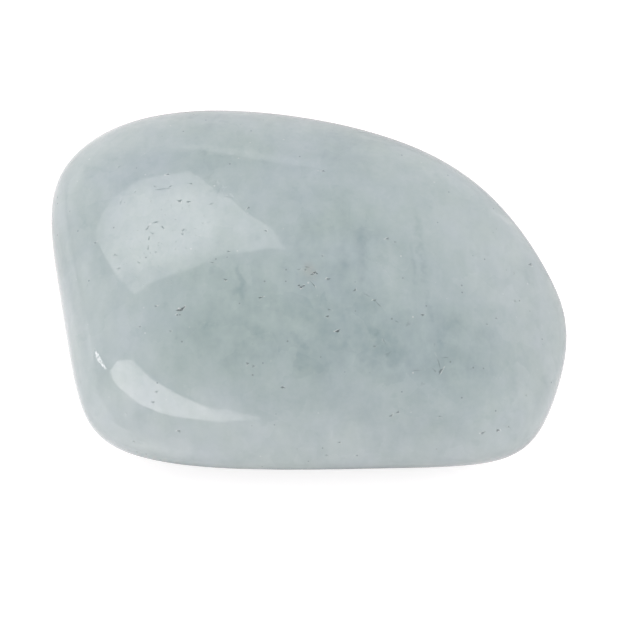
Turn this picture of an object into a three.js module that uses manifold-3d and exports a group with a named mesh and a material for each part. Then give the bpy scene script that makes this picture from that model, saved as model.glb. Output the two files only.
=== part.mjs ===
// A tumbled stone: one pebble of pale, cloudy, blue-grey-green stone, 30 mm long.
//
// A broken lump of rock goes into the drum with grit. Its broken sides wear down to broad,
// soft faces, and the edges between them wear round. The solid is made the same way: two
// lists of the lump's old sides, and a formula that rounds them all into each other.
//
// +X is along the stone, to the right. +Y is away from the front, and +Z is up. The origin
// is on the surface that the stone rests on, under the middle of its outline from above.
import * as THREE from "three";
import { mergeVertices } from "three/addons/utils/BufferGeometryUtils.js";
import Module from "manifold-3d";

// Driving dimensions, in millimetres.
const stoneLength = 30;
const restingSpotDepth = 0.05;

// How narrow the worn edges are: 2 gives an egg, and 20 gives a block with crisp edges.
// They are between two sides of the belt, between two faces, and between belt and faces.
const beltEdges = 8.3;
const faceEdges = 5;
const rimEdge = 2.5;

// Each of an icosahedron's 20 sides is split into this many rows of triangles.
const rowsOfTriangles = 16;

// The old sides. Azimuth turns from +X towards +Y and elevation rises from level, both in
// degrees. Distance runs from the lump's middle out to the side, in millimetres.
const belt = [
  { name: "right end", azimuth: -18, elevation: 30, distance: 12.5 },
  { name: "right shoulder", azimuth: 46, elevation: -22, distance: 11.3 },
  { name: "back", azimuth: 78, elevation: 5, distance: 11.3 },
  { name: "back left corner", azimuth: 110, elevation: -6, distance: 14.9 },
  { name: "left end", azimuth: 184, elevation: -9, distance: 17.7 },
  { name: "front left corner", azimuth: 255, elevation: -4, distance: 16.2 },
  { name: "front", azimuth: 272, elevation: 8, distance: 10.4 },
];
const faces = [
  { name: "top right", azimuth: 13, elevation: 76, distance: 8.1 },
  { name: "top left", azimuth: 153, elevation: 85, distance: 6.2 },
  { name: "front slope", azimuth: 259, elevation: 60, distance: 7.9 },
  { name: "left slope", azimuth: 203, elevation: 55, distance: 11.5 },
  { name: "underside", azimuth: 0, elevation: -90, distance: 6.6 },
  { name: "under the front", azimuth: 257, elevation: -78, distance: 11.2 },
  { name: "under the left end", azimuth: 186, elevation: -56, distance: 14.7 },
];

const wasm = await Module();
wasm.setup();

// The unit vector that points straight out of an old side.
function outwardNormal({ azimuth, elevation }) {
  const turn = THREE.MathUtils.degToRad(azimuth);
  const rise = THREE.MathUtils.degToRad(elevation);
  const level = Math.cos(rise);
  return new THREE.Vector3(level * Math.cos(turn), level * Math.sin(turn), Math.sin(rise));
}

// How much of the way to a group of old sides a point has gone: 1 is at their skin. The
// power sum lets the nearest side win, and blends two sides where they are about equally
// near, which is along a worn edge.
function shareOfTheWay(point, sides, edges) {
  let sum = 0;
  for (const side of sides) {
    const share = side.normal.dot(point) / side.distance;
    if (share > 0) sum += share ** edges;
  }
  return sum ** (1 / edges);
}

// The distance from the lump's middle to its skin in one direction.
function distanceToSkin(direction) {
  const acrossBelt = shareOfTheWay(direction, belt, beltEdges);
  const acrossFaces = shareOfTheWay(direction, faces, faceEdges);
  return (acrossBelt ** rimEdge + acrossFaces ** rimEdge) ** (-1 / rimEdge);
}

// Pushes a ball's vertices out to the skin, then sets the stone to its length and stands
// its lowest point just under the surface it rests on.
function tumbledGeometry() {
  const ball = new THREE.IcosahedronGeometry(1, rowsOfTriangles - 1);
  const geometry = withPositionOnly(ball);
  const positions = geometry.getAttribute("position");
  const direction = new THREE.Vector3();
  for (let i = 0; i < positions.count; i++) {
    direction.fromBufferAttribute(positions, i).normalize();
    const point = direction.clone().multiplyScalar(distanceToSkin(direction));
    positions.setXYZ(i, point.x, point.y, point.z);
  }
  geometry.computeBoundingBox();
  const fullSize = stoneLength / (geometry.boundingBox.max.x - geometry.boundingBox.min.x);
  geometry.scale(fullSize, fullSize, fullSize);
  geometry.computeBoundingBox();
  const middle = geometry.boundingBox.getCenter(new THREE.Vector3());
  const lowest = geometry.boundingBox.min.z;
  geometry.translate(-middle.x, -middle.y, -lowest - restingSpotDepth);
  return geometry;
}

// The surface that the stone rests on, as a block with its top at height zero.
function supportGeometry() {
  const width = 2 * stoneLength;
  const block = new THREE.BoxGeometry(width, width, stoneLength);
  block.translate(0, 0, -stoneLength / 2);
  return withPositionOnly(block);
}

// Keeps a geometry's positions alone, so that triangles that touch share their vertices.
function withPositionOnly(geometry) {
  geometry.deleteAttribute("normal");
  geometry.deleteAttribute("uv");
  return mergeVertices(geometry);
}

function toSolid(geometry) {
  const vertProperties = Float32Array.from(geometry.getAttribute("position").array);
  const triVerts = Uint32Array.from(geometry.getIndex().array);
  return new wasm.Manifold(new wasm.Mesh({ numProp: 3, vertProperties, triVerts }));
}

function toGeometry(solid) {
  const mesh = solid.getMesh();
  const geometry = new THREE.BufferGeometry();
  geometry.setAttribute("position", new THREE.BufferAttribute(mesh.vertProperties, 3));
  geometry.setIndex(new THREE.BufferAttribute(mesh.triVerts, 1));
  geometry.computeVertexNormals();
  return geometry;
}

// The whole stone, with the small flat spot that it rests on worn into its underside.
function makeStone() {
  const worn = toSolid(tumbledGeometry()).subtract(toSolid(supportGeometry()));
  const material = new THREE.MeshStandardMaterial({
    color: "#b0bdbe",
    roughness: 0.12,
    metalness: 0,
  });
  const stone = new THREE.Mesh(toGeometry(worn), material);
  stone.name = "stone";
  return stone;
}

for (const side of [...belt, ...faces]) side.normal = outwardNormal(side);

const tumbledStone = new THREE.Group();
tumbledStone.add(makeStone());

export default tumbledStone;
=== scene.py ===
import math

import bmesh
import bpy
import numpy as np
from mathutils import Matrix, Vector


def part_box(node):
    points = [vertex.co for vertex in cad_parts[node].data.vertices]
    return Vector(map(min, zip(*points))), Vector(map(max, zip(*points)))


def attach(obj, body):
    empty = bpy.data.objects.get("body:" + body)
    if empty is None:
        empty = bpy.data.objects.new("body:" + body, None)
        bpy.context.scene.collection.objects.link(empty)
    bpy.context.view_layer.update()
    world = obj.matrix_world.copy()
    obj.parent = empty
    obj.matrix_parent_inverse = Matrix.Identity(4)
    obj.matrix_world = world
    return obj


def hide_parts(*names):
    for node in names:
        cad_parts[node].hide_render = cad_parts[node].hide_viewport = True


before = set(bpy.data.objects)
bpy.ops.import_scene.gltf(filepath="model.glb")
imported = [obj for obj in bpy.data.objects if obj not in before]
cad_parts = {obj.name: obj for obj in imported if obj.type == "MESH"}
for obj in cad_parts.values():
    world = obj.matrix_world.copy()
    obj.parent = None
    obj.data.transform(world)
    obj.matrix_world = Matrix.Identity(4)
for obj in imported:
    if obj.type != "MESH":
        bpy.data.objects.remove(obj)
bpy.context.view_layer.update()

# The stone
# One pebble of pale, cloudy, blue-grey-green stone. A broken lump was tumbled in a drum with
# grit until its broken sides were broad, soft faces with round edges between them, and then
# with polish until it shone. A few small pits and hair cracks are left in the polish.

# The worn skin, in millimetres and degrees.
# Each old side of the lump has its azimuth, its elevation and its distance from the middle.
BELT = (
    ("right end", -18, 30, 12.5),
    ("right shoulder", 46, -22, 11.3),
    ("back", 78, 5, 11.3),
    ("back left corner", 110, -6, 14.9),
    ("left end", 184, -9, 17.7),
    ("front left corner", 255, -4, 16.2),
    ("front", 272, 8, 10.4),
)
FACES = (
    ("top right", 13, 76, 8.1),
    ("top left", 153, 85, 6.2),
    ("front slope", 259, 60, 7.9),
    ("left slope", 203, 55, 11.5),
    ("underside", 0, -90, 6.6),
    ("under the front", 257, -78, 11.2),
    ("under the left end", 186, -56, 14.7),
)
BELT_EDGES = 8.3
FACE_EDGES = 5
RIM_EDGE = 2.5
RESTING_SPOT_DEPTH = 0.05


def straight_out(azimuth, elevation):
    """The direction that an azimuth and an elevation in degrees point in."""
    turn, rise = math.radians(azimuth), math.radians(elevation)
    return np.array((
        math.cos(rise) * math.cos(turn),
        math.cos(rise) * math.sin(turn),
        math.sin(rise),
    ))


def share_of_the_way(points, sides, edges):
    """How much of the way to a group of old sides each point has gone: 1 is at their skin."""
    total = 0
    for _, azimuth, elevation, distance in sides:
        share = points @ straight_out(azimuth, elevation) / distance
        total = total + np.maximum(share, 0) ** edges
    return total ** (1 / edges)


def share_to_skin(points):
    """The same for the whole stone: below 1 is inside it."""
    across_belt = share_of_the_way(points, BELT, BELT_EDGES)
    across_faces = share_of_the_way(points, FACES, FACE_EDGES)
    return (across_belt ** RIM_EDGE + across_faces ** RIM_EDGE) ** (1 / RIM_EDGE)


def out_of_skin(points):
    """The unit direction straight out of the skin at each point on it."""
    step = 0.01
    rise = [
        share_to_skin(points + step * axis) - share_to_skin(points - step * axis)
        for axis in np.eye(3)
    ]
    slope = np.stack(rise, axis=-1)
    return slope / np.linalg.norm(slope, axis=-1, keepdims=True)


# The photograph looks down at the stone from the front. Right and up are as it shows them,
# from the middle of the stone's outline, which is a little off the lump's own middle.
LOOK_DOWN = 60
CAMERA_DISTANCE = 501.4
OUTLINE_RIGHT, OUTLINE_UP = -0.05, 0.25
TO_CAMERA = straight_out(-90, LOOK_DOWN)
RIGHT = np.array((1.0, 0.0, 0.0))
UP = np.cross(TO_CAMERA, RIGHT)


def seen_at(right, up):
    """The point of the skin that shows this far right of the outline's middle and up from it."""
    beside_middle = (OUTLINE_RIGHT + right) * RIGHT + (OUTLINE_UP + up) * UP
    ray = CAMERA_DISTANCE * TO_CAMERA - beside_middle
    ray /= np.linalg.norm(ray)
    past_the_stone, fine_step = 15, 0.005
    along = np.arange(-past_the_stone, past_the_stone, fine_step)
    points = beside_middle + along[:, None] * ray
    return points[share_to_skin(points) < 1][-1]


# The pits that the photograph shows: right, up, length, width, slant in degrees, depth. The
# last nine are only dents in the polish.
PITS = (
    (-7.6, -1.18, 0.14, 0.1, 0, 0.09),
    (-7.46, -1.17, 0.18, 0.12, 10, 0.12),
    (-7.34, -1.08, 0.2, 0.1, 40, 0.12),
    (-7.24, -1.0, 0.12, 0.07, 30, 0.08),
    (-7.66, -1.45, 0.1, 0.09, 0, 0.06),
    (-7.5, -1.45, 0.09, 0.08, 0, 0.05),
    (-7.5, 5.2, 0.22, 0.12, 0, 0.045),
    (-7.0, 5.15, 0.2, 0.1, 0, 0.035),
    (-9.4, 3.6, 0.24, 0.06, 60, 0.04),
    (-8.9, 3.95, 0.26, 0.06, 10, 0.04),
    (-8.5, 3.65, 0.26, 0.06, -50, 0.035),
    (-9.1, 3.3, 0.18, 0.06, -20, 0.02),
    (0.22, 0.92, 0.16, 0.08, 10, 0.06),
    (0.35, 1.02, 0.15, 0.09, 30, 0.07),
    (0.47, 0.97, 0.13, 0.08, -40, 0.06),
    (-0.56, 0.26, 0.11, 0.08, 0, 0.08),
    (-0.43, 0.16, 0.13, 0.09, 0, 0.09),
    (-0.28, 0.24, 0.12, 0.07, 40, 0.08),
    (0.26, 0.33, 0.47, 0.05, -54, 0.04),
    (-0.18, 1.17, 0.12, 0.08, 0, 0.04),
    (1.15, 0.64, 0.2, 0.1, 0, 0.05),
    (1.7, -2.4, 0.2, 0.12, 20, 0.085),
    (2.7, 0.0, 0.2, 0.08, 50, 0.05),
    (3.85, -0.6, 0.18, 0.09, 0, 0.05),
    (1.1, -1.55, 0.16, 0.09, 0, 0.05),
    (1.2, -1.15, 0.14, 0.08, 0, 0.04),
    (-2.8, -0.45, 0.2, 0.07, 15, 0.07),
    (-4.85, 0.6, 0.18, 0.09, -30, 0.05),
    (-4.65, 2.25, 0.16, 0.08, 0, 0.04),
    (-5.6, 1.6, 0.16, 0.08, 0, 0.04),
    (-3.5, 4.8, 0.2, 0.08, 40, 0.05),
    (-2.5, 3.45, 0.14, 0.08, 0, 0.04),
    (-12.45, 2.75, 0.16, 0.1, 0, 0.04),
    (-11.05, 7.2, 0.16, 0.08, 0, 0.04),
    (-6.85, 6.2, 0.14, 0.08, 0, 0.04),
    (-8.2, 6.75, 0.14, 0.08, 0, 0.07),
    (-1.5, -5.7, 0.2, 0.1, 0, 0.06),
    (-3.55, -4.3, 0.16, 0.1, 0, 0.05),
    (-3.2, -4.45, 0.16, 0.1, 0, 0.035),
    (3.85, -3.3, 0.16, 0.08, 0, 0.04),
    (7.7, -4.75, 0.3, 0.12, 60, 0.07),
    (6.65, -1.45, 0.16, 0.08, 0, 0.09),
    (12.05, -0.65, 0.2, 0.1, 0, 0.03),
    (10.95, -1.65, 0.14, 0.08, 0, 0.04),
    (12.95, 1.5, 0.22, 0.14, 30, 0.055),
    (4.6, 3.0, 0.16, 0.1, 0, 0.05),
    (5.05, 2.8, 0.14, 0.08, 0, 0.03),
    (0.85, 6.95, 0.16, 0.1, 0, 0.065),
    (11.05, -8.2, 0.2, 0.1, 15, 0.08),
    (10.15, -8.35, 0.22, 0.1, 30, 0.06),
    (11.65, -8.0, 0.14, 0.08, 0, 0.04),
    (5.2, -7.15, 0.18, 0.08, 45, 0.05),
    (4.8, -7.35, 0.22, 0.08, 35, 0.05),
    (12.7, -6.15, 0.14, 0.08, 0, 0.025),
    (-7.55, -8.25, 0.2, 0.1, -20, 0.06),
    (-8.85, -5.95, 0.14, 0.08, 0, 0.025),
    (-9.05, -6.55, 0.14, 0.08, 0, 0.03),
    (-10.65, -7.2, 0.14, 0.08, 0, 0.015),
    (-10.2, -8.85, 0.16, 0.08, 0, 0.05),
    (-8.9, -0.95, 0.14, 0.08, 0, 0.06),
    (-9.85, -2.15, 0.14, 0.08, 0, 0.04),
    (-8.05, -2.4, 0.14, 0.08, 0, 0.04),
    (1.05, -9.65, 0.16, 0.08, 0, 0.05),
    (1.8, -8.9, 0.14, 0.08, 0, 0.055),
    (7.65, -7.4, 0.14, 0.08, 0, 0.04),
    (0.8, 2.0, 0.12, 0.08, 0, 0.03),
    (-0.1, 1.35, 0.3, 0.06, -20, 0.03),
    (-0.55, 1.2, 0.22, 0.05, 10, 0.03),
    (4.1, -0.85, 0.5, 0.05, -45, 0.035),
    (3.4, -0.3, 0.4, 0.05, -30, 0.025),
    (5.8, -2.0, 0.32, 0.16, 40, 0.02),
    (5.15, -1.85, 0.24, 0.05, -20, 0.03),
    (4.4, -3.0, 0.3, 0.05, -60, 0.03),
    (4.6, -3.75, 0.3, 0.18, 30, 0.015),
    (7.35, -3.2, 0.2, 0.07, 85, 0.02),
    (7.6, -4.3, 0.6, 0.06, -75, 0.04),
    (7.95, -3.95, 0.4, 0.05, 5, 0.03),
    (7.35, -4.7, 0.3, 0.05, -40, 0.03),
    (6.3, -4.7, 0.45, 0.06, 0, 0.025),
    (6.65, -5.5, 0.26, 0.16, 0, 0.015),
    (9.5, -4.6, 0.22, 0.08, 20, 0.012),
    (10.4, -2.0, 0.14, 0.07, 0, 0.03),
    (12.0, 1.0, 0.2, 0.06, 85, 0.03),
    (5.5, 0.7, 0.12, 0.07, 0, 0.03),
    (-8.5, 5.9, 0.8, 0.05, 0, 0.025),
    (-8.95, 6.05, 0.2, 0.05, -40, 0.03),
    (-8.05, 6.05, 0.2, 0.05, 40, 0.03),
    (-5.65, 5.05, 0.22, 0.14, 20, 0.015),
    (-10.95, 5.15, 0.35, 0.05, 85, 0.025),
    (-10.1, 5.75, 0.3, 0.05, 85, 0.02),
    (-9.3, 3.0, 0.2, 0.06, 80, 0.03),
    (-9.35, 2.45, 0.3, 0.05, 85, 0.03),
    (-7.3, 3.5, 0.2, 0.06, 60, 0.03),
    (-7.35, 3.25, 0.15, 0.07, 0, 0.03),
    (-8.9, 2.2, 0.15, 0.05, 0, 0.02),
    (-11.3, 2.05, 0.12, 0.08, 0, 0.04),
    (-11.05, 1.25, 0.14, 0.08, 20, 0.04),
    (-9.9, 1.6, 0.2, 0.06, -30, 0.025),
    (-12.9, 0.27, 0.3, 0.05, 85, 0.02),
    (-5.8, 6.6, 0.5, 0.36, 40, 0.006),
    (-5.4, 6.25, 0.4, 0.3, -20, 0.006),
    (-5.05, 5.9, 0.5, 0.36, 60, 0.006),
    (-4.6, 5.5, 0.4, 0.3, 10, 0.006),
    (-12.26, -3.92, 0.14, 0.1, -50, 0.005),
    (-12.15, -4.12, 0.12, 0.09, 20, 0.005),
    (-12.03, -4.3, 0.12, 0.08, -60, 0.004),
    (-12.48, -3.51, 0.14, 0.1, 0, 0.012),
    (-12.5, -3.81, 0.14, 0.1, 30, 0.012),
)

# Every pit gets its place on the skin, the way out of it, its long and short directions, each
# divided by half its size, half its length, and its depth.
pits = []


def mark_pit(place, length, width, slant, depth):
    """Notes one pit. Slant turns its long direction from the photograph's right towards its up."""
    way_out = out_of_skin(place)
    long_way = math.cos(math.radians(slant)) * RIGHT + math.sin(math.radians(slant)) * UP
    long_way = long_way - way_out * (long_way @ way_out)
    long_way /= np.linalg.norm(long_way)
    short_way = np.cross(way_out, long_way)
    long_way /= length / 2
    short_way /= width / 2
    pits.append((place, way_out, long_way, short_way, length / 2, depth))


for right, up, length, width, slant, depth in PITS:
    mark_pit(seen_at(right, up), length, width, slant, depth)

# The sides that the photograph hides have such pits too. The skin there turns away from the
# camera, or nearly so.
HIDDEN_PITS = 90
NEARLY_AWAY = 0.15
chance = np.random.default_rng(11)
while len(pits) < len(PITS) + HIDDEN_PITS:
    direction = chance.normal(size=3)
    place = direction / share_to_skin(direction)
    width = chance.uniform(0.07, 0.13)
    length = width * chance.uniform(1.1, 2.6)
    slant = chance.uniform(-70, 70)
    if out_of_skin(place) @ TO_CAMERA < NEARLY_AWAY:
        mark_pit(place, length, width, slant, 0.45 * width)

# A ball of triangles is pushed out to the skin. They are halved three times over near each
# pit: within so many times half its length, and a hair's breadth more.
FINER_NEAR_PITS = (2.4, 1.9, 1.5)
HAIRS_BREADTH = 0.04
ball = bmesh.new()
bmesh.ops.create_icosphere(ball, subdivisions=7, radius=1)
for reach in FINER_NEAR_PITS:
    ball.verts.ensure_lookup_table()
    ball.edges.index_update()
    ends = np.array([[edge.verts[0].index, edge.verts[1].index] for edge in ball.edges])
    directions = np.array([vertex.co for vertex in ball.verts])
    middles = directions[ends].mean(axis=1)
    middles /= share_to_skin(middles)[:, None]
    near = np.zeros(len(middles), bool)
    for place, _, _, _, half_length, _ in pits:
        near |= np.linalg.norm(middles - place, axis=1) < reach * half_length + HAIRS_BREADTH
    split = [edge for edge, chosen in zip(ball.edges, near) if chosen]
    bmesh.ops.subdivide_edges(ball, edges=split, cuts=1)
    loose = [face for face in ball.faces if len(face.verts) > 3]
    bmesh.ops.triangulate(ball, faces=loose)
    ball.verts.index_update()
stone_mesh = bpy.data.meshes.new("stone_polished")
ball.to_mesh(stone_mesh)
ball.free()
directions = np.array([vertex.co for vertex in stone_mesh.vertices], dtype=float)
skin = directions / share_to_skin(directions)[:, None]
way_out = out_of_skin(skin)

# Polishing left the faces very slightly wavy, in long swells a few micrometres high. Each
# kind has its wavelength and height, and runs six ways.
SWELLS = ((9.0, 0.012), (6.0, 0.009), (3.5, 0.005), (2.0, 0.0025), (1.2, 0.0012))
SWELL_WAYS = 6
FULL_TURN = 6.28
swells = np.zeros(len(skin))
for wavelength, height in SWELLS:
    for _ in range(SWELL_WAYS):
        direction = chance.normal(size=3)
        direction *= 2 * math.pi / wavelength / np.linalg.norm(direction)
        wave = np.cos(skin @ direction + chance.uniform(0, FULL_TURN)) - 1
        swells += height / SWELL_WAYS * wave
worn = skin + way_out * swells[:, None]

# Each pit is a small dent with a ragged, crisp lip. The deeper ones are coloured darker, and the
# stone is bruised white along one side of them.
LARGEST_PIT = 0.7
DARKEST_PIT_DEPTH = 0.09
BRUISED_DEPTH = 0.06
pit_mask = np.zeros(len(skin))
bruise_mask = np.zeros(len(skin))
for place, _, long_way, short_way, _, depth in pits:
    close = np.flatnonzero(np.linalg.norm(skin - place, axis=1) < LARGEST_PIT)
    beside = skin[close] - place
    along, aside = beside @ long_way, beside @ short_way
    turn = np.arctan2(aside, along)
    ragged = 1 + 0.26 * np.sin(3 * turn + chance.uniform(0, FULL_TURN))
    ragged += 0.2 * np.sin(5 * turn + chance.uniform(0, FULL_TURN))
    across = np.hypot(along, aside) * ragged
    dent = np.clip(1 - across ** 2, 0, 1) ** 0.8
    worn[close] -= way_out[close] * (depth * dent)[:, None]
    pit_darkness = min(1, depth / DARKEST_PIT_DEPTH) * chance.uniform(0.55, 1.0)
    pit_mask[close] = np.maximum(pit_mask[close], pit_darkness * np.clip(1.6 - 1.2 * across, 0, 1))
    one_side = np.clip(np.cos(turn - chance.uniform(0, FULL_TURN)), 0, 1)
    bruise = one_side * np.clip(1 - np.abs(across - 1.35) / 0.5, 0, 1)
    bruise *= chance.uniform(0.2, 1.0) * min(1, depth / BRUISED_DEPTH) ** 2
    bruise_mask[close] = np.maximum(bruise_mask[close], bruise)

# The stone is set to the length of its place in the frame, stands on its resting spot, and
# keeps a hair's breadth inside that place.
JUST_INSIDE = 0.999
low, high = (np.array(corner) * 1000 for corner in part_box("stone"))
full_size = JUST_INSIDE * (high[0] - low[0]) / np.ptp(skin[:, 0])
middle_height = -skin[:, 2].min() * full_size - RESTING_SPOT_DEPTH
lump_middle = np.array((
    (low[0] + high[0]) / 2 - full_size * (skin[:, 0].min() + skin[:, 0].max()) / 2,
    (low[1] + high[1]) / 2 - full_size * (skin[:, 1].min() + skin[:, 1].max()) / 2,
    middle_height,
))


def in_frame(points):
    """The same points at their full size and in their place in the frame, in millimetres."""
    return points * full_size + lump_middle


placed = in_frame(worn)
placed[:, 2] = np.maximum(placed[:, 2], 0)
stone_mesh.vertices.foreach_set("co", (placed / 1000).ravel())
stone_mesh.polygons.foreach_set("use_smooth", np.ones(len(stone_mesh.polygons), bool))
pit_marks = stone_mesh.attributes.new("pit", "FLOAT", "POINT")
pit_marks.data.foreach_set("value", pit_mask)
bruise_marks = stone_mesh.attributes.new("bruise", "FLOAT", "POINT")
bruise_marks.data.foreach_set("value", bruise_mask)

# The rim is where the belt of sides wears the stone more than its top and underside do. Its
# mark is 1 at the belt, and 0 where the belt has little say.
# Along this mark the colour is painted paler, as a glow of light through the thin rim.
LITTLE_SAY = 0.6
belt_share = share_of_the_way(skin, BELT, BELT_EDGES)
rim_glow_marks = stone_mesh.attributes.new("rim", "FLOAT", "POINT")
rim_glow_mask = np.clip((belt_share - LITTLE_SAY) / (1 - LITTLE_SAY), 0, 1)
rim_glow_marks.data.foreach_set("value", rim_glow_mask)
stone_mesh.update()
stone = bpy.data.objects.new("stone_polished", stone_mesh)
bpy.context.scene.collection.objects.link(stone)

# The stone's colour and polish
# The colour is cloudy all the way through: milky wisps, deeper blue-green bands between them,
# a few faint bluish veins, and darker pits. The polish is clear and hard.
COLOURS = (
    (0.0, (0.468, 0.546, 0.551, 1)),
    (0.3, (0.359, 0.442, 0.447, 1)),
    (0.65, (0.257, 0.342, 0.346, 1)),
    (1.0, (0.164, 0.244, 0.248, 1)),
)
stone_finish = bpy.data.materials.new("polished_cloudy_stone")
stone_finish.use_nodes = True
tree = stone_finish.node_tree
polish = tree.nodes["Principled BSDF"]
polish.inputs["IOR"].default_value = 1.58
polish.inputs["Subsurface Weight"].default_value = 0.35
polish.inputs["Subsurface Radius"].default_value = (1, 1, 1)
polish.inputs["Subsurface Scale"].default_value = 0.0015


def node(kind, **settings):
    """Adds one node to the stone's material and sets it."""
    made = tree.nodes.new(kind)
    for name, value in settings.items():
        setattr(made, name, value)
    return made


def feed(into, value):
    """Joins a socket to another node's output, or sets it to a number."""
    if isinstance(value, bpy.types.NodeSocket):
        tree.links.new(value, into)
    else:
        into.default_value = value


def sum_up(operation, first, second, third=0.0):
    """One step of arithmetic on numbers."""
    made = node("ShaderNodeMath", operation=operation)
    feed(made.inputs[0], first)
    feed(made.inputs[1], second)
    if operation == "MULTIPLY_ADD":
        feed(made.inputs[2], third)
    return made.outputs[0]


def sum_up_places(operation, first, second, third=None):
    """One step of arithmetic on places. Some steps give a number."""
    made = node("ShaderNodeVectorMath", operation=operation)
    feed(made.inputs[0], first)
    feed(made.inputs[1], second)
    if third is not None:
        feed(made.inputs[2], third)
    return made.outputs["Value" if operation in ("DISTANCE", "DOT_PRODUCT") else "Vector"]


def noise(where, scale, detail, roughness):
    """Cloudy noise through the stone, with its scale in swirls per millimetre."""
    made = node("ShaderNodeTexNoise")
    feed(made.inputs["Vector"], where)
    made.inputs["Scale"].default_value = scale
    made.inputs["Detail"].default_value = detail
    made.inputs["Roughness"].default_value = roughness
    return made


def cells(where, scale):
    """Small cells through the stone.

    Gives how far a place is from its cell's middle, and a random number for each cell.
    """
    made = node("ShaderNodeTexVoronoi")
    feed(made.inputs["Vector"], where)
    made.inputs["Scale"].default_value = scale
    numbers = node("ShaderNodeSeparateColor")
    feed(numbers.inputs[0], made.outputs["Color"])
    return made.outputs["Distance"], numbers.outputs[0]


def fade(value, start, end, low_value=0.0, high_value=1.0):
    """A smooth step from one value to another."""
    made = node("ShaderNodeMapRange", interpolation_type="SMOOTHSTEP")
    feed(made.inputs["Value"], value)
    made.inputs["From Min"].default_value = start
    made.inputs["From Max"].default_value = end
    made.inputs["To Min"].default_value = low_value
    made.inputs["To Max"].default_value = high_value
    return made.outputs["Result"]


def lay_over(share, under, over, blend_type="MIX"):
    """One colour over another, as far as its share."""
    made = node("ShaderNodeMix", data_type="RGBA", blend_type=blend_type)
    feed(made.inputs[0], share)
    feed(made.inputs[6], under)
    feed(made.inputs[7], over)
    return made.outputs[2]


def spot(where, centre, reach, amount):
    """An amount at a centre, in the frame's millimetres, that fades out smoothly round it."""
    faded_out = 1.4 * reach
    return fade(sum_up_places("DISTANCE", where, tuple(centre)), 0, faded_out, amount, 0)


# The place inside the stone, in millimetres. The swirl stirs it: a lot for the clouds, and
# less for the flakes and veins.
place = sum_up_places("MULTIPLY", node("ShaderNodeTexCoord").outputs["Object"], (1000, 1000, 1000))
swirl = sum_up_places("SUBTRACT", noise(place, 0.45, 4, 0.6).outputs["Color"], (0.5, 0.5, 0.5))
stirred = sum_up_places("MULTIPLY_ADD", swirl, (3, 3, 3), place)
curled = sum_up_places("MULTIPLY_ADD", swirl, (1.6, 1.6, 1.6), place)
wavy = sum_up_places("MULTIPLY_ADD", swirl, (1.3, 1.3, 1.3), place)
drawn_out = sum_up_places("MULTIPLY", place, (1.3, 0.7, 0.7))

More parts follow.
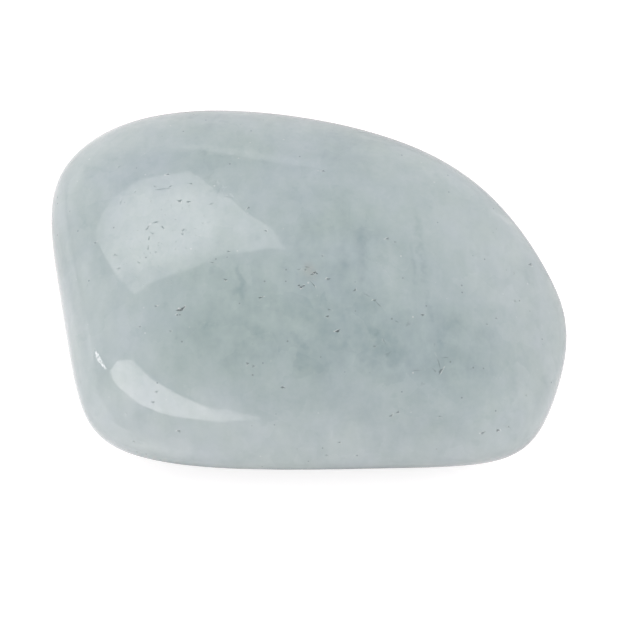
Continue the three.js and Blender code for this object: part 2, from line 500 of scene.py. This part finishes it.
# Depth of colour, from 0 for milky to 1 for deep. It starts with the clouds that the
# photograph shows: right, up, reach, and how much deeper or milkier.
CLOUDS = (
    (-5.0, -1.5, 4.0, 0.12),
    (-3.0, -3.0, 3.0, 0.08),
    (-3.3, -0.6, 1.2, 0.05),
    (0.8, -1.2, 3.2, 0.20),
    (3.3, -2.2, 3.0, 0.21),
    (5.0, -3.4, 1.8, 0.10),
    (8.0, -3.3, 3.0, 0.21),
    (11.5, -4.4, 3.2, 0.14),
    (-0.5, -4.5, 3.0, 0.12),
    (4.0, -6.5, 3.0, 0.10),
    (8.5, -8.0, 2.5, 0.09),
    (1.5, 3.0, 3.5, 0.14),
    (3.2, 3.0, 1.5, 0.10),
    (6.2, 1.2, 2.0, 0.10),
    (-4.5, 8.5, 2.5, 0.14),
    (2.0, -0.3, 1.5, -0.08),
    (10.0, 1.5, 4.0, -0.14),
    (9.0, 6.5, 3.5, -0.14),
    (5.0, 8.2, 2.5, -0.08),
    (14.0, -0.5, 2.5, -0.08),
    (-13.2, 0.6, 2.5, -0.02),
    (-9.0, -9.0, 2.5, -0.08),
    (11.8, 3.2, 2.4, -0.14),
    (5.2, 6.0, 2.0, -0.08),
    (10.5, -9.0, 3.5, -0.12),
    (14.0, -5.0, 2.5, -0.10),
    (-4.0, 10.2, 3.0, -0.08),
    (-8.5, 9.2, 2.5, -0.08),
    (-6.5, -8.0, 3.0, -0.14),
    (-9.5, -3.6, 2.0, -0.08),
    (-12.5, -1.5, 3.5, -0.06),
    (-12.2, -5.6, 2.4, -0.12),
    (-11.0, -8.5, 3.5, -0.20),
    (-13.5, 6.5, 3.0, -0.10),
    (-11.5, 8.5, 2.0, -0.10),
    (-0.9, -2.9, 1.0, -0.14),
    (-4.7, -0.4, 2.0, -0.06),
    (6.7, -2.9, 1.2, -0.10),
    (-1.2, -8.8, 2.6, -0.07),
    (7.8, 3.8, 1.8, -0.07),
    (-2.9, -3.2, 0.9, 0.12),
    (-3.4, 0.2, 1.2, 0.07),
    (-7.6, 0.4, 1.2, 0.06),
    (-6.6, -3.0, 1.4, 0.07),
    (-11.6, -1.0, 2.0, -0.06),
    (2.0, -8.6, 1.6, -0.08),
    (9.2, -7.5, 2.2, 0.10),
    (12.5, -5.8, 1.8, 0.04),
    (8.5, -2.0, 1.2, 0.06),
    (10.9, -2.1, 1.2, 0.07),
    (13.0, -1.6, 1.2, 0.06),
    (11.0, 1.1, 1.6, 0.05),
    (3.4, -3.2, 1.3, 0.12),
    (2.4, 3.6, 1.4, -0.05),
    (-13.5, 3.9, 1.6, -0.08),
    (-2.6, -2.4, 0.9, -0.12),
    (4.1, -2.2, 0.8, -0.10),
    (-4.9, -7.6, 2.0, -0.04),
    (1.9, -7.6, 1.2, -0.06),
    (5.8, -8.3, 1.6, -0.06),
    (10.6, -6.0, 1.2, -0.07),
    (-8.6, -4.4, 1.4, -0.07),
    (-1.6, 5.9, 1.2, -0.05),
    (1.9, 2.3, 1.0, -0.06),
    (-8.6, -7.7, 1.4, 0.06),
    (5.8, 7.3, 1.2, 0.06),
    (-12.9, -0.6, 1.4, 0.05),
    (-8.2, 1.0, 1.6, 0.07),
    (-6.6, 4.4, 1.4, 0.05),
    (-3.1, 4.6, 1.4, 0.06),
    (4.0, -4.2, 0.9, -0.08),
    (5.3, -5.1, 0.9, -0.07),
    (-7.0, -6.3, 1.4, -0.04),
    (-2.1, -6.6, 1.4, 0.06),
    (6.3, 5.2, 1.3, -0.05),
    (-2.6, -0.5, 0.9, 0.06),
    (-3.7, 1.0, 0.9, 0.05),
    (0.8, -4.0, 1.3, 0.05),
    (8.1, -2.5, 0.9, 0.05),
    (-9.8, 1.7, 1.2, 0.05),
    (2.7, 1.4, 0.9, 0.05),
    (10.6, 5.2, 1.5, 0.05),
    (10.6, 1.1, 1.2, 0.05),
    (-10.6, -6.8, 1.2, -0.05),
    (-6.9, -8.1, 1.5, -0.05),
    (-3.6, -8.6, 1.4, -0.05),
    (1.9, -6.4, 1.1, -0.05),
    (6.5, -4.4, 1.2, -0.04),
    (8.9, 3.4, 1.2, -0.05),
    (-14.0, 2.8, 1.4, -0.05),
    (-3.9, -5.9, 1.2, 0.05),
    (-6.0, -6.2, 0.9, 0.05),
    (4.6, -3.5, 0.8, 0.12),
)

# The clouds on the sides that it hides: azimuth and elevation from the lump's middle, reach,
# and how much.
HIDDEN_CLOUDS = (
    (62, 2, 4.5, 0.20),
    (118, -12, 4.0, 0.18),
    (95, -35, 3.5, -0.14),
    (35, -30, 3.0, -0.12),
    (165, -25, 3.5, 0.14),
    (188, 4, 2.5, -0.10),
    (232, -30, 3.0, 0.16),
    (285, -30, 3.5, -0.12),
    (310, -50, 4.0, 0.20),
    (15, -70, 4.5, 0.16),
    (150, -65, 4.0, 0.20),
    (80, 25, 2.5, 0.10),
)
clouds = [(seen_at(right, up), reach, amount) for right, up, reach, amount in CLOUDS]
for azimuth, elevation, reach, amount in HIDDEN_CLOUDS:
    outward = straight_out(azimuth, elevation)
    clouds.append((outward / share_to_skin(outward), reach, amount))
depth = 0.36
for place_on_skin, reach, amount in clouds:
    depth = sum_up("ADD", spot(stirred, in_frame(place_on_skin), reach, amount), depth)

# Patches are about 3 mm across, smudges about 1 mm, and grain less. Flakes are places a
# millimetre or so wide with an edge to them, and blots are deeper spots. All of them show
# more where the colour is deep.
patches = sum_up("MULTIPLY_ADD", noise(place, 0.33, 4, 0.55).outputs["Fac"], 0.48, -0.24)
smudges = sum_up("MULTIPLY_ADD", noise(drawn_out, 1.0, 3, 0.5).outputs["Fac"], 0.34, -0.17)
grain = sum_up("MULTIPLY_ADD", noise(place, 3.0, 2, 0.5).outputs["Fac"], 0.12, -0.06)
_, flake_shade = cells(curled, 0.8)
flakes = sum_up("MULTIPLY_ADD", flake_shade, 0.08, -0.04)
mottling = sum_up("ADD", sum_up("ADD", patches, smudges), sum_up("ADD", grain, flakes))
contrast = sum_up("MULTIPLY_ADD", depth, 1.1, 0.38)
depth = sum_up("MULTIPLY_ADD", mottling, contrast, depth)
blots = fade(noise(place, 0.9, 3, 0.55).outputs["Fac"], 0.60, 0.74, 0.0, 0.09)
depth = sum_up("MULTIPLY_ADD", blots, contrast, depth)

# Faint veins are thin sheets through the stone: right and up at both ends, width, amount.
# A few are paler than the stone round them.
VEINS = (
    (6.3, 4.9, 7.1, -2.4, 0.32, 0.18),
    (6.0, 3.2, 6.1, -1.2, 0.22, 0.10),
    (5.65, 4.6, 5.5, 0.4, 0.50, 0.05),
    (3.3, 4.0, 3.2, 0.2, 0.45, 0.12),
    (2.15, 5.2, 2.2, 0.2, 0.45, 0.07),
    (-0.45, 2.9, -0.4, -1.8, 0.55, 0.07),
    (-4.1, 1.6, -3.8, -0.5, 0.26, 0.15),
    (2.45, 5.2, 2.45, 4.0, 0.15, 0.06),
    (4.8, 2.6, 4.7, -0.8, 0.60, -0.09),
    (1.1, 5.0, 1.0, 1.7, 0.50, -0.05),
    (10.65, 4.45, 11.75, 3.7, 0.24, -0.17),
)
broken = fade(noise(place, 1.1, 2, 0.5).outputs["Fac"], 0.38, 0.58, 0.25, 1.0)
for right, up, far_right, far_up, width, amount in VEINS:
    start = in_frame(seen_at(right, up))
    run = in_frame(seen_at(far_right, far_up)) - start
    square_on = np.cross(run, TO_CAMERA)
    square_on /= np.linalg.norm(square_on)
    from_start = sum_up_places("SUBTRACT", wavy, tuple(start))
    across_vein = sum_up_places("DOT_PRODUCT", from_start, tuple(square_on))
    along_vein = sum_up_places("DOT_PRODUCT", from_start, tuple(run / (run @ run)))
    near_sheet = fade(sum_up("ABSOLUTE", across_vein, 0.0), 0, width, amount, 0)
    near_sheet = sum_up("MULTIPLY", near_sheet, broken)
    from_middle = sum_up("ABSOLUTE", sum_up("SUBTRACT", along_vein, 0.5), 0.0)
    ends = fade(from_middle, 0.25, 0.65, 1, 0)
    depth = sum_up("MULTIPLY_ADD", near_sheet, ends, depth)

# Painted glow: the colour is paler at the thin rim, standing for light that comes through it.
rim = node("ShaderNodeAttribute", attribute_name="rim").outputs["Fac"]
depth = sum_up("ADD", depth, fade(rim, 0.4, 1.0, 0.0, -0.20))

shades = node("ShaderNodeValToRGB")
feed(shades.inputs[0], depth)
shades.color_ramp.elements[0].color = COLOURS[0][1]
shades.color_ramp.elements[1].color = COLOURS[-1][1]
for position, shade in COLOURS[1:-1]:
    shades.color_ramp.elements.new(position).color = shade
colour = shades.outputs["Color"]

# Some places are a little bluer, and some a little greener: right, up, reach, and how blue.
TINTS = (
    (-9.8, 7.0, 3.0, 0.7),
    (-0.5, 7.0, 3.5, 0.8),
    (1.6, 1.2, 2.5, 0.5),
    (6.0, -3.5, 4.0, 0.3),
    (-4.5, -1.8, 4.5, -0.8),
    (1.5, 4.0, 2.0, -0.6),
    (-3.5, 8.0, 2.0, -0.7),
)
GREENER = (1.0, 1.005, 0.98, 1)
BLUER = (1.0, 0.99, 1.03, 1)
blueness = sum_up("MULTIPLY_ADD", noise(place, 0.5, 3, 0.5).outputs["Fac"], 1.4, -0.35)
for right, up, reach, amount in TINTS:
    tinge = spot(stirred, in_frame(seen_at(right, up)), reach, 0.6 * amount)
    blueness = sum_up("ADD", blueness, tinge)
colour = lay_over(1, colour, lay_over(blueness, GREENER, BLUER), "MULTIPLY")

# A little rust has crept in beside the middle pits.
RUST = (0.27, 0.26, 0.20, 1)
from_rust = sum_up_places("DISTANCE", curled, tuple(in_frame(seen_at(0.02, 1.25))))
colour = lay_over(fade(from_rust, 0.05, 0.7, 0.22, 0), colour, RUST)

# Tiny flecks: a pale one and a dark one in every few square millimetres. The bruises beside
# the pits are as pale.
PALE = (0.75, 0.78, 0.78, 1)
from_speck, speck_kind = cells(place, 1.5)
in_speck = fade(from_speck, 0.05, 0.11, 1, 0)
pale_fleck = sum_up("MULTIPLY", in_speck, fade(speck_kind, 0.65, 1.0, 0, 0.3))
dark_fleck = sum_up("MULTIPLY", in_speck, fade(speck_kind, 0.25, 0.3, 0.45, 0))
bruised = node("ShaderNodeAttribute", attribute_name="bruise").outputs["Fac"]
colour = lay_over(sum_up("MULTIPLY_ADD", bruised, 0.78, pale_fleck), colour, PALE)

# The pits and the dark flecks are coloured dark, and the polish is dull in the pits as well.
DARK_MARK_COLOUR = (0.08, 0.105, 0.11, 1)
pit = node("ShaderNodeAttribute", attribute_name="pit").outputs["Fac"]
colour = lay_over(sum_up("MULTIPLY_ADD", pit, 0.85, dark_fleck), colour, DARK_MARK_COLOUR)
feed(polish.inputs["Base Color"], colour)
feed(polish.inputs["Roughness"], fade(pit, 0.2, 0.8, 0.05, 0.5))

# The polish is not quite flat: ripples under a millimetre long and far thinner than a hair.
# Bump heights are in metres.
RIPPLE_HEIGHT = 0.0000012
ripples = node("ShaderNodeBump")
ripples.inputs["Strength"].default_value = 1
ripples.inputs["Distance"].default_value = RIPPLE_HEIGHT
feed(ripples.inputs["Height"], noise(place, 1.4, 3, 0.6).outputs["Fac"])

# Round the ring of pits at the left it is finely pricked as well, which shows in the highlight.
PRICK_DEPTH = 0.000016
from_prick, prick_kind = cells(place, 5)
pricks = sum_up("MULTIPLY", fade(from_prick, 0.03, 0.22, 1, 0), fade(prick_kind, 0.5, 0.6))
from_ring = sum_up_places("DISTANCE", place, tuple(in_frame(seen_at(-8.2, 3.0))))
pricks = sum_up("MULTIPLY", pricks, fade(from_ring, 1.0, 5.0, 1, 0))
pricked = node("ShaderNodeBump", invert=True)
pricked.inputs["Strength"].default_value = 1
pricked.inputs["Distance"].default_value = PRICK_DEPTH
feed(pricked.inputs["Height"], pricks)
feed(pricked.inputs["Normal"], ripples.outputs["Normal"])
feed(polish.inputs["Normal"], pricked.outputs["Normal"])

stone_mesh.materials.append(stone_finish)
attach(stone, "root")
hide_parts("stone")

# The table
# A plain white table, wide enough to run out of sight. To the camera it is overexposed, as in
# the photograph, so it has a little glow that only the camera sees.
TABLE_HALF_WIDTH = 1.0
CAMERA_GLOW = 0.60
table_mesh = bpy.data.meshes.new("table")
table_corners = [
    (TABLE_HALF_WIDTH * x, TABLE_HALF_WIDTH * y, 0) for x, y in ((-1, -1), (1, -1), (1, 1), (-1, 1))
]
table_mesh.from_pydata(table_corners, [], [(0, 1, 2, 3)])
table = bpy.data.objects.new("table", table_mesh)
bpy.context.scene.collection.objects.link(table)
table_finish = bpy.data.materials.new("white_table")
table_finish.use_nodes = True
matt = table_finish.node_tree.nodes["Principled BSDF"]
matt.inputs["Base Color"].default_value = (0.66, 0.66, 0.66, 1)
matt.inputs["Roughness"].default_value = 0.8
matt.inputs["Specular IOR Level"].default_value = 0.1
matt.inputs["Emission Color"].default_value = (1, 1, 1, 1)
table_nodes = table_finish.node_tree
seen = table_nodes.nodes.new("ShaderNodeLightPath")
washed_out = table_nodes.nodes.new("ShaderNodeMath")
washed_out.operation = "MULTIPLY"
table_nodes.links.new(seen.outputs["Is Camera Ray"], washed_out.inputs[0])
washed_out.inputs[1].default_value = CAMERA_GLOW
table_nodes.links.new(washed_out.outputs[0], matt.inputs["Emission Strength"])
table_mesh.materials.append(table_finish)

# The light
# A big softbox stands behind the stone on the left, and a long low one in front on the left.
# A bare lamp shines past the left end, and a pale strip hangs behind. White card lies and
# stands round the back and left end, and grey card round the right end; the grey card that
# lies on the table is painted shadow for the stone's shadow there. A pale room gives the rest.
# All of the light is a little warm.
LIGHT_DISTANCE = 350
SHEET_COLUMNS, SHEET_ROWS = 40, 20
CARD_STEPS = 40
WARM = (1.04, 0.975, 0.985)


def hang_sheet(name, places, columns, brightness, cover, lights_stone):
    """Makes rows of places, in millimetres, into a sheet that glows.

    It hides what is behind it where its cover is 1, and can't be seen where that is 0.
    """
    faces = []
    for corner in range(len(places) - columns):
        if corner % columns < columns - 1:
            faces.append((corner, corner + 1, corner + columns + 1, corner + columns))
    mesh = bpy.data.meshes.new(name)
    mesh.from_pydata([tuple(place / 1000) for place in places], [], faces)
    mesh.attributes.new("glow", "FLOAT", "POINT").data.foreach_set("value", brightness)
    mesh.attributes.new("cover", "FLOAT", "POINT").data.foreach_set("value", cover)
    finish = bpy.data.materials.new(name)
    finish.use_nodes = True
    nodes, links = finish.node_tree.nodes, finish.node_tree.links
    nodes.clear()
    glow_value = nodes.new("ShaderNodeAttribute")
    glow_value.attribute_name = "glow"
    cover_value = nodes.new("ShaderNodeAttribute")
    cover_value.attribute_name = "cover"
    shine = nodes.new("ShaderNodeEmission")
    shine.inputs["Color"].default_value = (*WARM, 1)
    thin = nodes.new("ShaderNodeBsdfTransparent")
    cloth = nodes.new("ShaderNodeMixShader")
    output = nodes.new("ShaderNodeOutputMaterial")
    links.new(glow_value.outputs["Fac"], shine.inputs["Strength"])
    links.new(cover_value.outputs["Fac"], cloth.inputs[0])
    links.new(thin.outputs["BSDF"], cloth.inputs[1])
    links.new(shine.outputs["Emission"], cloth.inputs[2])
    links.new(cloth.outputs["Shader"], output.inputs["Surface"])
    mesh.materials.append(finish)
    sheet = bpy.data.objects.new(name, mesh)
    bpy.context.scene.collection.objects.link(sheet)
    sheet.visible_camera = False
    sheet.visible_shadow = False
    sheet.visible_diffuse = lights_stone


def mirrored_at(right, up):
    """Where a line of sight meets the polish, and the way that it goes on from there."""
    place = seen_at(right, up)
    to_camera = CAMERA_DISTANCE * TO_CAMERA - place
    to_camera /= np.linalg.norm(to_camera)
    way_out = out_of_skin(place)
    return place, 2 * (way_out @ to_camera) * way_out - to_camera


def lit_cloth(name, azimuth, height, lower_edge, upper_edge, glow, soft_edge=0.0):
    """A sheet of light that faces the stone.

    Its lower and upper edges hang where the photograph shows them in the polish, at a few
    points right and up. Glow gives the brightness from how far along and up the sheet a
    point is. The lower edge can fade out.
    """
    out = straight_out(azimuth, height)
    edges = []
    for seen_edge in (lower_edge, upper_edge):
        edge = []
        for right, up in seen_edge:
            place, way = mirrored_at(right, up)
            edge.append(place + way * (LIGHT_DISTANCE - place @ out) / (way @ out))
        edges.append(np.array(edge))
    marks = np.linspace(0, 1, len(lower_edge))
    places, brightness, cover = [], [], []
    for row in range(SHEET_ROWS + 1):
        for column in range(SHEET_COLUMNS + 1):
            s, t = column / SHEET_COLUMNS, row / SHEET_ROWS
            low_place, high_place = (
                np.array([np.interp(s, marks, edge[:, axis]) for axis in range(3)])
                for edge in edges
            )
            places.append(lump_middle + low_place * (1 - t) + high_place * t)
            brightness.append(glow(s, t))
            cover.append(step_up(t, -0.0001, soft_edge))
    hang_sheet(name, places, SHEET_COLUMNS + 1, brightness, cover, True)


def set_card(name, corner, along, up, glow, cover):
    """A flat card that shows in the polish, and is too dim to light anything.

    It goes from its corner along two edges, in millimetres. Glow and cover are given the
    place on it.
    """
    shares = [step / CARD_STEPS for step in range(CARD_STEPS + 1)]
    places = [
        np.array(corner) + np.array(along) * s + np.array(up) * t
        for t in shares for s in shares
    ]
    brightness = [glow(*place) for place in places]
    covers = [cover(*place) for place in places]
    hang_sheet(name, places, CARD_STEPS + 1, brightness, covers, False)


def step_up(value, start, end):
    """A smooth step from 0 to 1."""
    share = min(max((value - start) / (end - start), 0), 1)
    return share * share * (3 - 2 * share)


def big_softbox_glow(s, t):
    """The lamp lights the middle. The edges and the two upper corners are dimmer."""
    lit = step_up(t, -0.05, 0.55) * (1 - 0.9 * step_up(t, 0.76, 0.96))
    lit *= 1 - step_up(t - 0.6 * s, 0.54, 0.72)
    lit *= 1 - 0.9 * step_up(s + 0.25 * (t - 0.45), 0.79, 0.95)
    lit *= 0.55 + 0.45 * step_up(s, 0, 0.35)
    return 2.15 + 1.42 * lit


def long_softbox_glow(s, t):
    """Bright, dimmer along parts of both edges and at its thin end."""
    border = 0.7 * step_up(t, 0.80, 0.92) * (1 - step_up(s, 0.3, 0.5))
    dull_patch = step_up(s, 0.22, 0.32) * (1 - step_up(s, 0.5, 0.6))
    border += 0.35 * dull_patch * (1 - step_up(t, 0.1, 0.35))
    return 2.4 + 1.35 * (1 - border) * (1 - step_up(s, 0.80, 0.95))


def bare_lamp_glow(s, t):
    """Brighter than any softbox."""
    return 7.6


def strip_glow(s, t):
    """Pale, and dimmer at its right end."""
    return 1.5 - 0.6 * step_up(s, 0.75, 1.0)


lit_cloth(
    "big_softbox", 135.6, 46.5,
    ((-12.49, 3.21), (-11.99, 4.78), (-11.07, 5.79), (-9.60, 6.48), (-6.99, 6.97)),
    ((-10.19, -0.20), (-8.84, 0.59), (-6.91, 1.37), (-4.37, 2.14), (-1.23, 2.47)),
    big_softbox_glow,
    soft_edge=0.06,
)
lit_cloth(
    "long_softbox", 231, 21,
    ((-11.58, -4.74), (-11.30, -5.43), (-10.52, -6.11), (-9.42, -6.83), (-6.78, -7.51),
     (-2.62, -7.54)),
    ((-11.01, -4.00), (-10.29, -4.05), (-9.74, -4.61), (-8.75, -5.47), (-6.66, -6.48),
     (-2.56, -7.43)),
    long_softbox_glow,
)
lit_cloth(
    "bare_lamp", 185, 9,
    ((-12.49, -3.53), (-12.42, -3.77), (-12.41, -4.04), (-12.35, -4.23), (-12.21, -4.34),
     (-12.06, -4.43), (-11.89, -4.64)),
    ((-12.42, -3.54), (-12.29, -3.68), (-12.16, -3.85), (-12.09, -4.03), (-12.02, -4.21),
     (-11.93, -4.39), (-11.78, -4.60)),
    bare_lamp_glow,
)
lit_cloth(
    "strip_behind", 90, 22,
    ((-7.46, 8.48), (-5.62, 8.45), (-3.49, 8.14), (-0.62, 7.72), (2.17, 7.23)),
    ((-7.46, 8.31), (-5.56, 8.10), (-3.42, 7.67), (-0.58, 7.22), (2.19, 6.84)),
    strip_glow,
)

# A broad lamp fills in from the right and doesn't show in the polish.
FILL_WIDTH = 0.4
FILL_DISTANCE = 0.45
fill = bpy.data.lights.new("fill", "AREA")
fill.shape = "DISK"
fill.size = FILL_WIDTH
fill.energy = 1.2 * math.pi * FILL_WIDTH ** 2
fill.color = WARM
fill_lamp = bpy.data.objects.new("fill", fill)
bpy.context.scene.collection.objects.link(fill_lamp)
fill_out = Vector(straight_out(-10, 45))
fill_lamp.location = Vector(lump_middle / 1000) + FILL_DISTANCE * fill_out
fill_lamp.rotation_mode = "QUATERNION"
fill_lamp.rotation_quaternion = (-fill_out).to_track_quat("-Z", "Y")
fill_lamp.visible_camera = False
fill_lamp.visible_glossy = False

# A white card lies on the table at the left, and shows in the polish under the left end. It
# fades out under the stone. More white card stands low behind and at the left.


def white_card_glow(x, y, z):
    """Brightest in front on the left, and in the stone's shade close to it."""
    near_left_end = 0.3 * step_up(x, -34, -24) * (1 - step_up(y, 2, 7)) * step_up(y, -4, 1)
    shade = 0.25 * step_up(y, -2, 4) * (1 - step_up(y, 6, 11)) + 0.1 * step_up(x, -26, -19)
    shade += 0.12 * step_up(y, 18, 26)
    shade += 0.3 * step_up(x, -26, -20) * step_up(y, -10, -5) * (1 - step_up(y, -2, 4))
    shade += 0.8 * (1 - step_up(y, -30, -20)) * step_up(x, -28, -20)
    shade += 0.2 * step_up(x, -45, -35) * step_up(y, -14, -10) * (1 - step_up(y, -10, -4))
    return 2.0 - 0.65 * step_up(y, -6, 4) + near_left_end - shade


def white_card_cover(x, y, z):
    """Whole, but fades out under the stone, and is thinner behind it and by its right front."""
    edge = 3 * (1 - step_up(y, -22, -12))
    behind = 0.75 * step_up(y, 26, 36) * step_up(x, -3, 9) * (1 - step_up(x, 16, 24))
    slip = 0.45 * step_up(x, 6, 10) * (1 - step_up(x, 18, 22))
    slip *= step_up(y, -14, -10) * (1 - step_up(y, -4, 2))
    return max(1 - step_up(x - edge, -15, -8), behind, slip)


def card_behind_glow(x, y, z):
    """Brighter at the left than straight behind."""
    return 1.07 + 0.38 * (1 - step_up(x, -60, -15))


def card_behind_cover(x, y, z):
    """Fades out at both ends and at the top."""
    return step_up(x, -150, -120) * (1 - step_up(x, 55, 75)) * (1 - step_up(z, 16, 26))


def card_left_glow(x, y, z):
    """The same all over."""
    return 1.9


def card_left_cover(x, y, z):
    """Fades out at both ends and at the top."""
    return step_up(y, -78, -68) * (1 - step_up(y, 2, 8)) * (1 - step_up(z, 6, 10))


set_card("white_card", (-70, -45, 0.3), (92, 0, 0), (0, 104, 0), white_card_glow, white_card_cover)
set_card("card_behind", (-150, 60, 0), (225, 0, 0), (0, 0, 26), card_behind_glow, card_behind_cover)
set_card("card_left", (-71, 8, 0), (0, -86, 0), (0, 0, 10), card_left_glow, card_left_cover)

# Thin grey card lies on the table in front of the stone and at its right. It is painted shadow:
# a dim sheet, seen only in the polish, for the stone's shadow on the table there. Grey card
# also stands low at the right and in front on the right.


def grey_card_glow(x, y, z):
    """Dim, and the same all over."""
    return 0.25


def painted_shadow_cover(x, y, z):
    """Painted shadow: thicker in front and at the right, fading near the stone and at its edges."""
    front = 1 - step_up(y, -14, -2)
    before_stone = front * (0.3 * step_up(x, -4, 2) + 0.1 * step_up(x, 8, 16))
    beside_stone = 0.42 * (1 - front) * step_up(x, 22, 30) * (1 - step_up(y, 6, 13))
    return (before_stone + beside_stone) * step_up(y, -42, -36)


def grey_front_cover(x, y, z):
    """Fades out at its left end and at the top."""
    return 0.7 * step_up(x, 0, 12) * (1 - step_up(z, 8, 16))


def grey_right_cover(x, y, z):
    """Thinner, and fades out at the back, at the top and at the bottom."""
    return 0.35 * (1 - step_up(y, 38, 55)) * step_up(z, 2, 10) * (1 - step_up(z, 16, 26))


set_card("painted_shadow_sheet", (-10, -44, 0.5), (70, 0, 0), (0, 62, 0), grey_card_glow, painted_shadow_cover)
set_card("grey_front", (0, -62, 0), (60, 50, 0), (0, 0, 16), grey_card_glow, grey_front_cover)
set_card("grey_right", (60, -12, 0), (0, 68, 0), (0, 0, 26), grey_card_glow, grey_right_cover)

# The pale room is a little darker above the horizon than below it.
room = bpy.data.worlds.new("pale_room")
bpy.context.scene.world = room
room.use_nodes = True
room_tree = room.node_tree
room_light = room_tree.nodes["Background"]
room_light.inputs["Strength"].default_value = 1.0
room_place = room_tree.nodes.new("ShaderNodeTexCoord")
room_height = room_tree.nodes.new("ShaderNodeSeparateXYZ")
room_tree.links.new(room_place.outputs["Generated"], room_height.inputs[0])
room_shade = room_tree.nodes.new("ShaderNodeValToRGB")
room_tree.links.new(room_height.outputs["Z"], room_shade.inputs[0])
stops = room_shade.color_ramp.elements
stops[0].position = 0.0
stops[1].position = 1.0
for height in (0.41, 0.45):
    stops.new(height)
for stop, grey in zip(stops, (1.0, 1.0, 0.8, 0.75)):
    stop.color = (*(grey * share for share in WARM), 1)
room_tree.links.new(room_shade.outputs["Color"], room_light.inputs["Color"])
bpy.context.scene.view_settings.view_transform = "Standard"
bpy.context.scene.view_settings.look = "None"

# The camera
# It looks down at the stone from the front through a long lens. The photograph is 620 pixels
# wide, and the stone's 30 mm are 515 of them. The picture's middle is a little right of the
# middle of the stone's outline, and below it.
PIXEL = 30 / 515
PICTURE_RIGHT = 1.5 * PIXEL
PICTURE_UP = -20 * PIXEL
camera_data = bpy.data.cameras.new("camera")
camera_data.lens = 500
camera_data.sensor_width = 36
camera_data.clip_start = 0.01
camera_data.clip_end = 10
camera = bpy.data.objects.new("camera", camera_data)
bpy.context.scene.collection.objects.link(camera)
bpy.context.scene.camera = camera
aim = in_frame((OUTLINE_RIGHT + PICTURE_RIGHT) * RIGHT + (OUTLINE_UP + PICTURE_UP) * UP)
camera.location = (aim + full_size * CAMERA_DISTANCE * TO_CAMERA) / 1000
camera.rotation_mode = "QUATERNION"
camera.rotation_quaternion = Vector(-TO_CAMERA).to_track_quat("-Z", "Y")
